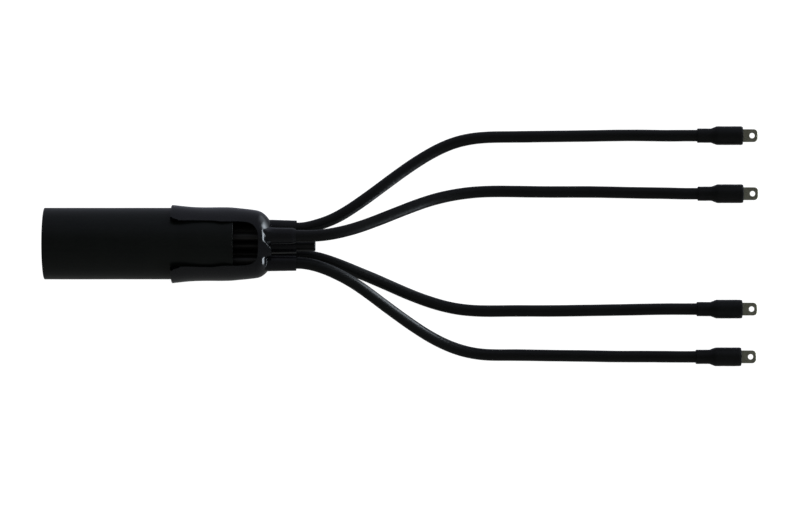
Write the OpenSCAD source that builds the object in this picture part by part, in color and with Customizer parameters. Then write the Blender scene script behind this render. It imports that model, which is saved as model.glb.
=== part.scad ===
// Breakout termination of a four-core power cable with a spare centre core.
// +X runs along the cable towards the lugs, +Y is left of the cable seen
// from its cut end, +Z is up. The origin is on the ground under the cable's
// axis, half way along the cable and its breakout boot.

/* [Cable] */
// Outside diameter of the cable's sheath
cable_d = 71.3; // [68:0.1:75]
// Thickness of the outer sheath
sheath_wall = 4.1; // [3:0.1:5]
// Length from the sawn end to the middle of the part
cable_back = 135.5; // [100:0.5:160]
// Where the sheath is cut back, under the boot
sheath_end = 53.5; // [50:0.5:56]
// How far the bedding stops short of the sheath's edge
bedding_setback = 1.2; // [0.5:0.1:3]

/* [Cores] */
// Diameter of a stranded conductor
conductor_d = 6.4; // [5.6:0.1:7]
// Diameter over the core's insulation
insulation_d = 9; // [8.6:0.1:9.4]
// Diameter over the shrink tube
tube_d = 11.8; // [11.4:0.1:12]
// Distance of each core from the middle core, in the cable
lay_radius = 17.6; // [17:0.1:18.4]
// Turn of the four cores about the middle core
lay_turn = -30; // [-34:1:-26]
// Sideways offset of the middle core from the cable's axis
lay_offset = -1.7; // [-2:0.1:0]

/* [Boot] */
// How far the boot's back rim flares above the sheath
rim_flare = 3.2; // [2.4:0.1:4]
// Back edge of the boot
boot_back = -8.2; // [-12:0.1:-4]
// Half the width of the cut-away window at its back
window_half = 23.1; // [18:0.1:25]
// Front edge of the cut-away window
window_front = 78.2; // [72:0.1:79]
// Corner radius of the window
window_r = 7; // [4:0.5:10]
// Distance of each finger from the middle finger
finger_radius = 20; // [19.6:0.1:20.4]
// Outside diameter of a finger at its root
finger_root_d = 16.2; // [15.4:0.1:16.6]
// Outside diameter of a finger at its mouth
finger_tip_d = 15.4; // [14.8:0.1:16]
// Where the fingers end
finger_end = 116.5; // [110:0.5:118]

/* [Spare core cap] */
// Outside diameter of the cap on the middle core
cap_d = 11.4; // [10.8:0.1:11.6]
// Where the cap ends
cap_end = 135.5; // [128:0.5:140]

/* [Lugs] */
// Outside diameter of a lug's barrel
barrel_d = 11; // [10:0.1:11.2]
// Width of a lug's palm
palm_w = 12.9; // [12:0.1:13.2]
// Thickness of a lug's contact pad
palm_t = 3; // [2.6:0.1:3.4]
// Diameter of the bolt hole
hole_d = 5.5; // [4.3:0.1:6.6]
// Distance from the hole's centre to the lug's tip
hole_to_tip = 5.5; // [4.8:0.1:6]
// Corner radius of the lug's tip
tip_r = 4; // [1:0.5:5]

/* [Lug sleeves] */
// Outside diameter of a sleeve over the barrel
sleeve_d = 19; // [18.4:0.1:20]
// Outside diameter of a sleeve over the tube
sleeve_neck_d = 14.5; // [13.6:0.1:15]
// Length of a sleeve
sleeve_l = 46; // [44:0.5:48]

/* [Hidden] */
$fn = 96;

cable_r = cable_d / 2;
axis_z = cable_r + rim_flare;      // the boot's rim stands on the ground
seat_r = cable_r - 0.25;           // sheath abraded where the boot grips it
seat_back = boot_back - 1.3;
inner_r = cable_r - sheath_wall;
con_r = conductor_d / 2;
ins_r = insulation_d / 2;
tube_r = tube_d / 2;
slip = 0.05;                       // radial room in the fingers' bores
finger_bore_r = tube_r + slip;
lug_z = sleeve_d / 2;              // the sleeves stand on the ground
strip = 17;                        // tube and insulation stop here in a sleeve
mouth = 17.5;                      // and the lug's barrel starts here
sides = 8;                         // sides of each swept core

// Each core's place about the middle core, as a turn from lay_turn
CORE_TURN = [0, 90, 270, 180];
// Where each lug sleeve starts, and its sideways place
SLEEVE_X = [519.5, 520, 519, 518];
LUG_Y = [109.2, 50.7, -65.6, -113.7];

// Routes of the four cores from the boot's fingers to their lug sleeves
ROUTE = [
    [[135, 18.5, 28.5], [155, 26, 27], [175, 38, 24], [200, 56.1, 19],
     [225, 74.5, 13.5], [250, 90.6, 9], [275, 102, 6.5], [300, 107, 5.9],
     [330, 108, 5.9], [370, 108.5, 5.9], [410, 109, 5.9], [440, 109.5, 6],
     [465, 109.5, 7], [490, 109.1, 9.1], [507, 109.2, 9.5]],
    [[135, 8, 55.5], [155, 10.5, 53], [175, 15.5, 47.5], [200, 24.5, 38.5],
     [225, 34.5, 28.5], [250, 43.5, 18], [275, 49.5, 10.5], [300, 52.5, 6.5],
     [330, 53, 5.9], [370, 52.5, 5.9], [410, 52.5, 5.9], [440, 52, 6],
     [465, 51.5, 7], [490, 51.1, 9.1], [507, 50.7, 9.5]],
    [[135, -13.5, 21.5], [155, -19.5, 20.5], [175, -27.5, 18], [200, -38, 13.5],
     [225, -49, 9.5], [250, -58.5, 6.5], [275, -65, 5.9], [300, -67.5, 5.9],
     [330, -67.5, 5.9], [370, -67.5, 5.9], [410, -67, 5.9], [440, -66.5, 6],
     [465, -66, 7], [490, -65.6, 9.1], [507, -65.6, 9.5]],
    [[135, -21.5, 48.5], [155, -29, 46], [175, -40, 41.5], [200, -58.1, 33],
     [225, -76.6, 24], [250, -93.1, 15.5], [275, -105, 9], [300, -111, 6],
     [330, -112, 5.9], [370, -112.5, 5.9], [410, -113, 5.9], [440, -113.5, 6],
     [465, -113.5, 7], [490, -113.6, 9.1], [507, -113.7, 9.5]]
];

// Place of core i at the distance r from the middle core
function place(i, r, x) =
    [x, lay_offset + r * cos(lay_turn + CORE_TURN[i]),
        axis_z + r * sin(lay_turn + CORE_TURN[i])];

// The points that core i runs through, from the sawn end to its lug
function run(i) = concat(
    [place(i, lay_radius, -cable_back), place(i, lay_radius, 76),
     place(i, finger_radius, 94), place(i, finger_radius, 100),
     place(i, finger_radius, 118)],
    ROUTE[i],
    [for (s = [0, strip, 30.5]) [SLEEVE_X[i] + s, LUG_Y[i], lug_z]]);
TUBE_FIRST = 3;                    // the tube starts at this point of the run
FREE_FIRST = 4;                    // between these the core bends freely
FREE_LAST = 19;

// Slope of the run at point k, weighted by the distances on each side
function slope(P, k) =
    let (a = P[k] - P[k - 1], b = P[k + 1] - P[k])
    (a / a[0] * b[0] + b / b[0] * a[0]) / (a[0] + b[0]);
function bent(k) = k > FREE_FIRST && k < FREE_LAST;
function grade(P, k) = bent(k) ? slope(P, k) : [1, 0, 0];

// Half way from point k to the next one, on the smooth curve, and not lower
// than the ground lets the tube lie
function midway(P, k) =
    let (h = P[k + 1][0] - P[k][0],
         m = (P[k] + P[k + 1]) / 2 + h * (grade(P, k) - grade(P, k + 1)) / 8)
    [m[0], m[1], max(m[2], tube_r)];

// The run from point a to point b, with the half-way points of its bends
function fine(P, a, b) = [for (k = [a : b]) each
    (k < b && k >= FREE_FIRST && k < FREE_LAST
        && P[k + 1][0] - P[k][0] < 26 ? [P[k], midway(P, k)] : [P[k]])];

function unit(v) = v / norm(v);
function heading(C, k) =
    unit(C[min(k + 1, len(C) - 1)] - C[max(k - 1, 0)]);
function ring(C, k, r) =
    let (t = heading(C, k), s = unit(cross([0, 0, 1], t)), n = cross(t, s))
    [for (j = [0 : sides - 1])
        C[k] + r * (cos(360 * j / sides) * s + sin(360 * j / sides) * n)];
function skin(C, r) = [for (k = [0 : len(C) - 1]) each ring(C, k, r)];

// A solid round bar along the points C
module bar(C, r) {
    m = len(C);
    polyhedron(skin(C, r), concat(
        [[for (j = [0 : sides - 1]) j]],
        [[for (j = [sides - 1 : -1 : 0]) (m - 1) * sides + j]],
        [for (k = [0 : m - 2], j = [0 : sides - 1], t = [0, 1])
            let (a = k * sides + j, b = k * sides + (j + 1) % sides)
            t == 0 ? [a, a + sides, b + sides] : [a, b + sides, b]]),
        convexity = 8);
}

// A pipe along the points C, from radius q out to radius r
module pipe(C, q, r) {
    m = len(C);
    n = m * sides;
    polyhedron(concat(skin(C, r), skin(C, q)), concat(
        [for (k = [0 : m - 2], j = [0 : sides - 1], t = [0 : 3])
            let (a = k * sides + j, b = k * sides + (j + 1) % sides)
            t == 0 ? [a, a + sides, b + sides] :
            t == 1 ? [a, b + sides, b] :
            t == 2 ? [n + a, n + b + sides, n + a + sides] :
                     [n + a, n + b, n + b + sides]],
        [for (j = [0 : sides - 1])
            [j, (j + 1) % sides, n + (j + 1) % sides, n + j]],
        [for (j = [0 : sides - 1])
            let (a = (m - 1) * sides + j, b = (m - 1) * sides + (j + 1) % sides)
            [a, n + a, n + b, b]]),
        convexity = 8);
}

// Turns a profile of [place along X, radius] points about the X axis
module turned(P) {
    rotate([0, 90, 0]) rotate_extrude()
        polygon([for (p = P) [p[1], p[0]]]);
}

module outer_sheath() color([0.07, 0.07, 0.075])
    translate([0, 0, axis_z]) turned([
        [-cable_back, inner_r], [sheath_end, inner_r],
        [sheath_end, seat_r - 0.4], [sheath_end - 0.4, seat_r],
        [seat_back, seat_r], [seat_back - 1, cable_r], [-cable_back, cable_r]]);

module bedding() color([0.2, 0.2, 0.2]) difference() {
    translate([0, 0, axis_z]) turned([
        [-cable_back, 0], [sheath_end - bedding_setback, 0],
        [sheath_end - bedding_setback, inner_r], [-cable_back, inner_r]]);
    for (i = [0 : 3]) translate(place(i, lay_radius, -cable_back - 1))
        rotate([0, 90, 0]) cylinder(r = ins_r, h = cable_back + sheath_end + 2);
    translate([-cable_back - 1, lay_offset, axis_z])
        rotate([0, 90, 0]) cylinder(r = ins_r, h = cable_back + sheath_end + 2);
}

// Outside of the boot: the flared rim, the barrel, and the domed end
BOOT_OUT = concat(
    [[boot_back, cable_r + rim_flare - 0.7],
     [boot_back + 0.6, cable_r + rim_flare]],
    [for (p = [[-5, 0.95], [0, 0.8], [5, 0.6], [10, 0.45], [15, 0.35],
               [20, 0.3]]) [p[0], cable_r + rim_flare * p[1]]],
    [for (p = [[30, 0.9], [40, 1], [50, 0.85], [55, 0.5], [60, 0.1],
               [65, -0.4], [70, -0.9], [75, -1.6], [78, -2.3], [80, -3],
               [82, -4.05], [84, -5.6], [86, -7.6], [88, -9.8], [89.5, -11.7],
               [90.8, -14.7], [91.6, -18.7], [92, -25.7]])
        [p[0], cable_r + p[1]]],
    [[92.2, 0]]);
// Inside of the boot, from its dome back to its rim
BOOT_IN = concat([[86.6, 0]],
    [for (p = [[86.2, -18.5], [85, -12.5], [83, -9], [80, -6.6], [76, -4.6],
               [70, -3.3], [62, -2.2], [55, -1.6]]) [p[0], cable_r + p[1]]],
    [[sheath_end, seat_r], [boot_back, seat_r]]);

module window() {
    back = boot_back - 6;
    mid = window_front - window_r;
    half = window_half - 2.5;
    translate([0, 0, axis_z + 4]) linear_extrude(cable_r + 10) union() {
        polygon([[back, -window_half], [30, -window_half],
            [45, 0.8 - window_half], [62, -half - 1], [mid, -half],
            [mid, half], [62, half + 1], [45, window_half - 0.8],
            [30, window_half], [back, window_half]]);
        translate([mid - 1, window_r - half])
            square([window_r + 1, 2 * (half - window_r)]);
        for (s = [-1, 1]) translate([mid, s * (half - window_r)])
            circle(window_r);
    }
}

module finger() {
    rotate([0, 90, 0]) {
        cylinder(d1 = finger_root_d, d2 = finger_tip_d, h = finger_end - 87);
        translate([0, 0, 2]) cylinder(d1 = 19, d2 = finger_root_d, h = 4.5);
    }
}

module breakout_boot() color([0.1, 0.1, 0.115]) difference() {
    union() {
        difference() {
            translate([0, 0, axis_z]) turned(concat(BOOT_OUT, BOOT_IN));
            window();
        }
        for (i = [0 : 3]) translate(place(i, finger_radius, 87)) finger();
        translate([87, lay_offset, axis_z]) finger();
    }
    for (i = [0 : 3]) translate(place(i, finger_radius, 80))
        rotate([0, 90, 0]) cylinder(r = finger_bore_r, h = 60);
    translate([80, lay_offset, axis_z])
        rotate([0, 90, 0]) cylinder(r = finger_bore_r, h = 60);
}

module core_conductor(i) color([0.72, 0.45, 0.3])
    bar(fine(run(i), 0, len(run(i)) - 1), con_r);

module core_insulation(i) color([0.09, 0.09, 0.09])
    pipe(fine(run(i), 0, len(run(i)) - 2), con_r, ins_r);

module core_tube(i) color([0.07, 0.07, 0.075])
    pipe(fine(run(i), TUBE_FIRST, len(run(i)) - 2), ins_r, tube_r);

// A lug with its barrel's mouth towards the cable, placed by its sleeve's start
module lug(i) color([0.45, 0.45, 0.4])
    translate([SLEEVE_X[i], LUG_Y[i], lug_z]) {
        tip = sleeve_l + 14.8;
        difference() {
            union() {
                translate([mouth, 0, 0]) rotate([0, 90, 0])
                    cylinder(d = barrel_d, h = 16.5);
                hull() {
                    translate([mouth + 16, 0, 0]) rotate([0, 90, 0])
                        cylinder(d = barrel_d - 0.3, h = 0.4, $fn = 32);
                    translate([mouth + 24, -palm_w / 2, 0.1 - palm_t / 2])
                        cube([0.5, palm_w, palm_t - 0.2]);
                }
                translate([mouth + 24.2, -palm_w / 2, 0.1 - palm_t / 2])
                    cube([sleeve_l - mouth - 22, palm_w, palm_t - 0.2]);
                translate([0, 0, -palm_t / 2]) linear_extrude(palm_t) union() {
                    translate([sleeve_l + 0.8, -palm_w / 2])
                        square([14 - tip_r, palm_w]);
                    translate([tip - tip_r - 1, tip_r - palm_w / 2])
                        square([tip_r + 1, palm_w - 2 * tip_r]);
                    for (s = [-1, 1])
                        translate([tip - tip_r, s * (palm_w / 2 - tip_r)])
                            circle(tip_r);
                }
            }
            translate([mouth - 1, 0, 0]) rotate([0, 90, 0])
                cylinder(r = con_r, h = 14.5);
            translate([tip - hole_to_tip, 0, -palm_t])
                cylinder(d = hole_d, h = 2 * palm_t);
        }
    }

module lug_sleeve(i) color([0.06, 0.06, 0.065])
    translate([SLEEVE_X[i], LUG_Y[i], lug_z]) turned([
        [0, tube_r + 0.03], [strip, tube_r + 0.03], [strip, barrel_d / 2],
        [34.5, barrel_d / 2], [36.5, palm_w / 2 + 0.3], [sleeve_l, palm_w / 2 + 0.3],
        [sleeve_l, palm_w / 2 + 0.6], [sleeve_l - 0.5, sleeve_d / 2 - 1.6],
        [sleeve_l - 1.1, sleeve_d / 2 - 0.4], [sleeve_l - 2, sleeve_d / 2],
        [20.8, sleeve_d / 2], [19.4, sleeve_d / 2 - 0.3],
        [14, sleeve_neck_d / 2 + 0.25], [12.8, sleeve_neck_d / 2],
        [1.2, sleeve_neck_d / 2], [0, sleeve_neck_d / 2 - 0.6]]);

module spare_conductor() color([0.72, 0.45, 0.3])
    translate([0, lay_offset, axis_z]) turned([
        [-cable_back, 0], [cap_end - 9, 0], [cap_end - 9, con_r],
        [-cable_back, con_r]]);

module spare_insulation() color([0.09, 0.09, 0.09])
    translate([0, lay_offset, axis_z]) turned([
        [-cable_back, con_r], [cap_end - 9, con_r], [cap_end - 9, ins_r],
        [-cable_back, ins_r]]);

module spare_core_cap() color([0.06, 0.06, 0.065])
    translate([0, lay_offset, axis_z]) turned([
        [100, ins_r], [cap_end - 9, ins_r], [cap_end - 9, 0], [cap_end, 0],
        [cap_end - 0.2, cap_d / 2 - 2.8], [cap_end - 0.8, cap_d / 2 - 1.1],
        [cap_end - 2, cap_d / 2 - 0.2], [cap_end - 3.2, cap_d / 2],
        [100, cap_d / 2]]);

outer_sheath();
bedding();
breakout_boot();
core_conductor(0);  // core_1_conductor
core_insulation(0);  // core_1_insulation
core_tube(0);  // core_1_tube
lug(0);  // core_1_lug
lug_sleeve(0);  // core_1_lug_sleeve
core_conductor(1);  // core_2_conductor
core_insulation(1);  // core_2_insulation
core_tube(1);  // core_2_tube
lug(1);  // core_2_lug
lug_sleeve(1);  // core_2_lug_sleeve
core_conductor(2);  // core_3_conductor
core_insulation(2);  // core_3_insulation
core_tube(2);  // core_3_tube
lug(2);  // core_3_lug
lug_sleeve(2);  // core_3_lug_sleeve
core_conductor(3);  // core_4_conductor
core_insulation(3);  // core_4_insulation
core_tube(3);  // core_4_tube
lug(3);  // core_4_lug
lug_sleeve(3);  // core_4_lug_sleeve
spare_conductor();
spare_insulation();
spare_core_cap();
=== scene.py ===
import bpy, math
import numpy as np
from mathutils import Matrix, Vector


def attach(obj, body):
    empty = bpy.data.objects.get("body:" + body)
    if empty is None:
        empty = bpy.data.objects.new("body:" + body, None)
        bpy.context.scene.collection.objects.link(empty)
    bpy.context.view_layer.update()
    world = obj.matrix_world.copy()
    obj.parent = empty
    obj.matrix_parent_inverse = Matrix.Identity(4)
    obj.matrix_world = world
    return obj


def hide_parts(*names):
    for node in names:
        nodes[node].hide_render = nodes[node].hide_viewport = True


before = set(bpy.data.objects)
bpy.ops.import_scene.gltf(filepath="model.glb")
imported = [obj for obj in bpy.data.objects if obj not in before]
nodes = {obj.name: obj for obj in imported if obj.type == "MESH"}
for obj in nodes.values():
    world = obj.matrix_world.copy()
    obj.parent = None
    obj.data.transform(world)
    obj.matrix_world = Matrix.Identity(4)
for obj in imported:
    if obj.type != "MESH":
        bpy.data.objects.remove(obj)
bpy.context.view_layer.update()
scene = bpy.context.scene
MM = 0.001
AXIS = 38.85      # height of the cable's axis, mm
OFF = -1.7        # sideways offset of the middle core, mm

# ---------------------------------------------------------------- camera
cam_data = bpy.data.cameras.new("camera")
cam_data.sensor_width = 36.0
cam_data.lens = 171.0
cam_data.clip_start, cam_data.clip_end = 0.1, 60.0
cam = bpy.data.objects.new("camera", cam_data)
cam.location = (0.220, -0.0121, 3.83885)
cam.rotation_euler = (0.0, 0.0, 0.0)
scene.collection.objects.link(cam)
scene.camera = cam
scene.view_settings.view_transform = "Standard"


# ---------------------------------------------------------------- helpers
def mesh_object(name, verts, faces, mats, smooth=True, mat_index=None):
    """verts in mm, faces as an array of quads or a list."""
    me = bpy.data.meshes.new(name)
    v = np.asarray(verts, float) * MM
    if isinstance(faces, np.ndarray):
        faces = faces.tolist()
    me.from_pydata(v.tolist(), [], faces)
    me.validate()
    for m in mats:
        me.materials.append(m)
    if mat_index is not None:
        me.polygons.foreach_set("material_index", np.asarray(mat_index, np.int32))
    me.polygons.foreach_set("use_smooth", [bool(smooth)] * len(me.polygons))
    me.update()
    o = bpy.data.objects.new(name, me)
    scene.collection.objects.link(o)
    return o


def sharpen(o, degrees):
    o.data.set_sharp_from_angle(angle=math.radians(degrees))
    return o


def fillet(points, closed=True):
    """A profile of (x, r, radius) corners as (x, r) points with rounded corners."""
    n = len(points)
    out = []
    for i, p in enumerate(points):
        b = np.array(p[:2], float)
        rad = p[2] if len(p) > 2 else 0
        if rad <= 0 or (not closed and i in (0, n - 1)):
            out.append(b)
            continue
        a = np.array(points[i - 1][:2], float)
        c = np.array(points[(i + 1) % n][:2], float)
        u, w = (a - b), (c - b)
        lu, lw = np.linalg.norm(u), np.linalg.norm(w)
        u, w = u / lu, w / lw
        cosang = float(np.clip(u @ w, -1, 1))
        half = math.acos(cosang) / 2
        if half > math.radians(89):
            out.append(b)
            continue
        t = min(rad / math.tan(half), 0.49 * lu, 0.49 * lw)
        r = t * math.tan(half)
        mid = (u + w) / np.linalg.norm(u + w)
        centre = b + mid * r / math.sin(half)
        p0, p1 = b + u * t, b + w * t
        a0 = math.atan2(*(p0 - centre)[::-1])
        a1 = math.atan2(*(p1 - centre)[::-1])
        d = (a1 - a0 + math.pi) % (2 * math.pi) - math.pi
        k = max(2, int(abs(math.degrees(d)) / 12))
        for s in range(k + 1):
            an = a0 + d * s / k
            out.append(centre + r * np.array([math.cos(an), math.sin(an)]))
    return np.array(out)


def dense(points, step):
    """Adds points along long straight runs of a closed profile."""
    out = []
    n = len(points)
    for i in range(n):
        a, b = points[i], points[(i + 1) % n]
        k = max(1, int(np.linalg.norm(b - a) / step))
        for s in range(k):
            out.append(a + (b - a) * s / k)
    return np.array(out)


def lathe(name, profile, centre, mats, segs=96, shape=None, sharp=40, mat_of=None):
    """Turns a closed (x, r) profile about the X axis through centre (y, z), mm.
    shape(x, r, a) may move each point's radius."""
    p = np.asarray(profile, float)
    n = len(p)
    on_axis = p[:, 1] < 1e-6
    a = np.arange(segs) * 2 * math.pi / segs
    X = np.repeat(p[:, 0], segs)
    R = np.repeat(p[:, 1], segs)
    A = np.tile(a, n)
    if shape is not None:
        X, R = shape(X, R, A)
    V = np.stack([X, centre[0] + R * np.cos(A), centre[1] + R * np.sin(A)], 1)
    idx = np.arange(n * segs).reshape(n, segs)
    for i in np.nonzero(on_axis)[0]:
        idx[i, :] = idx[i, 0]
    F = []
    where = []
    for i in range(n):
        j = (i + 1) % n
        if on_axis[i] and on_axis[j]:
            continue
        r0, r1 = idx[i], idx[j]
        s0, s1 = np.roll(r0, -1), np.roll(r1, -1)
        if on_axis[i]:
            f = np.stack([r0, r1, s1], 1)
        elif on_axis[j]:
            f = np.stack([r0, r1, s0], 1)
        else:
            f = np.stack([r0, r1, s1, s0], 1)
        F += f.tolist()
        where += [i] * segs
    used, inv = np.unique(np.concatenate([np.array(f) for f in F]), return_inverse=True)
    V = V[used]
    out, at = [], 0
    for f in F:
        out.append([int(q) for q in inv[at:at + len(f)]])
        at += len(f)
    mi = None
    if mat_of is not None:
        mi = [mat_of(i) for i in where]
    o = mesh_object(name, V, out, mats, True, mi)
    outward(o)
    if sharp:
        sharpen(o, sharp)
    return o


def outward(o):
    """Turns every face of a closed mesh outwards."""
    me = o.data
    me.calc_loop_triangles()
    co = np.zeros(len(me.vertices) * 3)
    me.vertices.foreach_get("co", co)
    co = co.reshape(-1, 3)
    t = np.zeros(len(me.loop_triangles) * 3, np.int32)
    me.loop_triangles.foreach_get("vertices", t)
    t = t.reshape(-1, 3)
    vol = np.einsum("ij,ij->i", co[t[:, 0]], np.cross(co[t[:, 1]], co[t[:, 2]])).sum()
    if vol < 0:
        me.flip_normals()
        me.update()


def frames(P):
    """Tangent, side and up at each point of a path."""
    T = np.gradient(P, axis=0)
    T /= np.linalg.norm(T, axis=1)[:, None]
    S = np.cross([0.0, 0.0, 1.0], T)
    S /= np.linalg.norm(S, axis=1)[:, None]
    return T, S, np.cross(T, S)


def pipe(name, P, inner, outer, sides, mats, shape=None, lip=0.0, sharp=40):
    """A pipe, or a bar where inner is 0, along the points P (mm)."""
    P = np.asarray(P, float)
    T, S, U = frames(P)
    m = len(P)
    a = np.arange(sides) * 2 * math.pi / sides
    R = np.full((m, sides), float(outer))
    if shape is not None:
        s = np.concatenate([[0], np.cumsum(np.linalg.norm(np.diff(P, axis=0), axis=1))])
        R = shape(s[:, None] * np.ones(sides), a[None, :] * np.ones((m, 1)), R)
    def rings(R, P=P, S=S, U=U):
        return (P[:, None, :] + R[:, :, None] * (np.cos(a)[None, :, None] * S[:, None, :]
                + np.sin(a)[None, :, None] * U[:, None, :])).reshape(-1, 3)
    blocks, at = [], []
    # the outer skin, with rounded lips
    Po, Ro = P.copy(), R.copy()
    if lip > 0:
        lips = []
        for end, way in ((0, -1), (m - 1, 1)):
            for t in (0.35, 0.75, 1.0):
                lips.append((end, P[end] + T[end] * way * 0.0, None))
        Ro[0] -= lip
        Ro[-1] -= lip
        Po = np.concatenate([P[:1], P[:1] + T[:1] * lip, P[1:-1], P[-1:] - T[-1:] * lip, P[-1:]])
        So = np.concatenate([S[:1], S[:1], S[1:-1], S[-1:], S[-1:]])
        Uo = np.concatenate([U[:1], U[:1], U[1:-1], U[-1:], U[-1:]])
        Ro = np.concatenate([Ro[:1], R[:1], R[1:-1], R[-1:], Ro[-1:]])
    else:
        So, Uo = S, U
    out = rings(Ro, Po, So, Uo)
    mo = len(Po)
    F = []
    def band(base, rows, flip):
        i = np.arange(rows - 1)[:, None] * sides + base
        j = np.arange(sides)[None, :]
        k = (j + 1) % sides
        q = np.stack([i + j, i + sides + j, i + sides + k, i + k], 2).reshape(-1, 4)
        return q[:, ::-1] if flip else q
    F.append(band(0, mo, False))
    V = [out]
    if inner > 0:
        base = mo * sides
        V.append(rings(np.full((m, sides), float(inner))))
        F.append(band(base, m, True))
        j = np.arange(sides)
        k = (j + 1) % sides
        F.append(np.stack([j, k, base + k, base + j], 1))
        e0, e1 = (mo - 1) * sides, base + (m - 1) * sides
        F.append(np.stack([e0 + j, e1 + j, e1 + k, e0 + k], 1))
        faces = np.concatenate(F).tolist()
    else:
        faces = np.concatenate(F).tolist()
        faces.append(list(range(sides)))
        faces.append(list(range(mo * sides - 1, (mo - 1) * sides - 1, -1)))
    o = mesh_object(name, np.concatenate(V), faces, mats)
    outward(o)
    sharpen(o, sharp)
    return o


def spline(x, y, q, d0=0.0, d1=0.0):
    """Cubic spline through (x, y) with end slopes d0 and d1, at q."""
    x, y = np.asarray(x, float), np.asarray(y, float)
    n = len(x)
    h = np.diff(x)
    A = np.zeros((n, n))
    b = np.zeros(n)
    A[0, 0] = A[-1, -1] = 1
    b[0], b[-1] = d0, d1
    for i in range(1, n - 1):
        A[i, i - 1], A[i, i], A[i, i + 1] = 1 / h[i - 1], 2 * (1 / h[i - 1] + 1 / h[i]), 1 / h[i]
        b[i] = 3 * ((y[i] - y[i - 1]) / h[i - 1] ** 2 + (y[i + 1] - y[i]) / h[i] ** 2)
    d = np.linalg.solve(A, b)
    k = np.clip(np.searchsorted(x, q, side="right") - 1, 0, n - 2)
    t = (q - x[k]) / h[k]
    a0 = (1 + 2 * t) * (1 - t) ** 2
    a1 = t * (1 - t) ** 2
    a2 = t * t * (3 - 2 * t)
    a3 = t * t * (t - 1)
    return a0 * y[k] + a1 * h[k] * d[k] + a2 * y[k + 1] + a3 * h[k] * d[k + 1]


# ---------------------------------------------------------------- the cores' routes, metres
TURN = [-30, 60, 240, 150]
SLEEVE_X = [0.5195, 0.5200, 0.5190, 0.5180]
LUG_Y = [0.1092, 0.0507, -0.0656, -0.1137]
ROUTE = [
    [[0.135, 0.0185, 0.0285], [0.155, 0.026, 0.027], [0.175, 0.038, 0.024],
     [0.200, 0.0561, 0.019], [0.225, 0.0745, 0.0135], [0.250, 0.0906, 0.009],
     [0.275, 0.102, 0.0065], [0.300, 0.107, 0.0059], [0.330, 0.108, 0.0059],
     [0.370, 0.1085, 0.0059], [0.410, 0.109, 0.0059], [0.440, 0.1095, 0.006],
     [0.465, 0.1095, 0.007], [0.490, 0.1091, 0.0091], [0.507, 0.1092, 0.0095]],
    [[0.135, 0.008, 0.0555], [0.155, 0.0105, 0.053], [0.175, 0.0155, 0.0475],
     [0.200, 0.0245, 0.0385], [0.225, 0.0345, 0.0285], [0.250, 0.0435, 0.018],
     [0.275, 0.0495, 0.0105], [0.300, 0.0525, 0.0065], [0.330, 0.053, 0.0059],
     [0.370, 0.0525, 0.0059], [0.410, 0.0525, 0.0059], [0.440, 0.052, 0.006],
     [0.465, 0.0515, 0.007], [0.490, 0.0511, 0.0091], [0.507, 0.0507, 0.0095]],
    [[0.135, -0.0135, 0.0215], [0.155, -0.0195, 0.0205], [0.175, -0.0275, 0.018],
     [0.200, -0.038, 0.0135], [0.225, -0.049, 0.0095], [0.250, -0.0585, 0.0065],
     [0.275, -0.065, 0.0059], [0.300, -0.0675, 0.0059], [0.330, -0.0675, 0.0059],
     [0.370, -0.0675, 0.0059], [0.410, -0.067, 0.0059], [0.440, -0.0665, 0.006],
     [0.465, -0.066, 0.007], [0.490, -0.0656, 0.0091], [0.507, -0.0656, 0.0095]],
    [[0.135, -0.0215, 0.0485], [0.155, -0.029, 0.046], [0.175, -0.040, 0.0415],
     [0.200, -0.0581, 0.033], [0.225, -0.0766, 0.024], [0.250, -0.0931, 0.0155],
     [0.275, -0.105, 0.009], [0.300, -0.111, 0.006], [0.330, -0.112, 0.0059],
     [0.370, -0.1125, 0.0059], [0.410, -0.113, 0.0059], [0.440, -0.1135, 0.006],
     [0.465, -0.1135, 0.007], [0.490, -0.1136, 0.0091], [0.507, -0.1137, 0.0095]],
]
TUBE_R, INS_R, CON_R, LUG_Z = 5.9, 4.5, 3.2, 9.5


def place(i, r):
    a = math.radians(TURN[i])
    # core 2 leaves its finger a little nearer the middle one than the rest do
    return OFF + r * math.cos(a) - (0.45 if i == 1 and r > 19 else 0.0), AXIS + r * math.sin(a)


def core_path(i, x):
    """Points of core i at the places x along the cable, mm."""
    x = np.asarray(x, float)
    y0, z0 = place(i, 17.6)
    y1, z1 = place(i, 20.0)
    s = SLEEVE_X[i] * 1000
    R = np.array(ROUTE[i]) * 1000
    kx = np.concatenate([[118.0], R[:, 0], [s]])
    ky = np.concatenate([[y1], R[:, 1], [LUG_Y[i] * 1000]])
    kz = np.concatenate([[z1], R[:, 2], [LUG_Z]])
    q = np.clip(x, 118.0, s)
    y, z = spline(kx, ky, q), spline(kx, kz, q)
    t = np.clip((x - 76.0) / 18.0, 0, 1)
    t = t * t * (3 - 2 * t)
    y = np.where(x < 118, y0 + (y1 - y0) * t, y)
    z = np.where(x < 118, z0 + (z1 - z0) * t, np.maximum(z, TUBE_R))
    return np.stack([x, y, z], 1)


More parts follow.
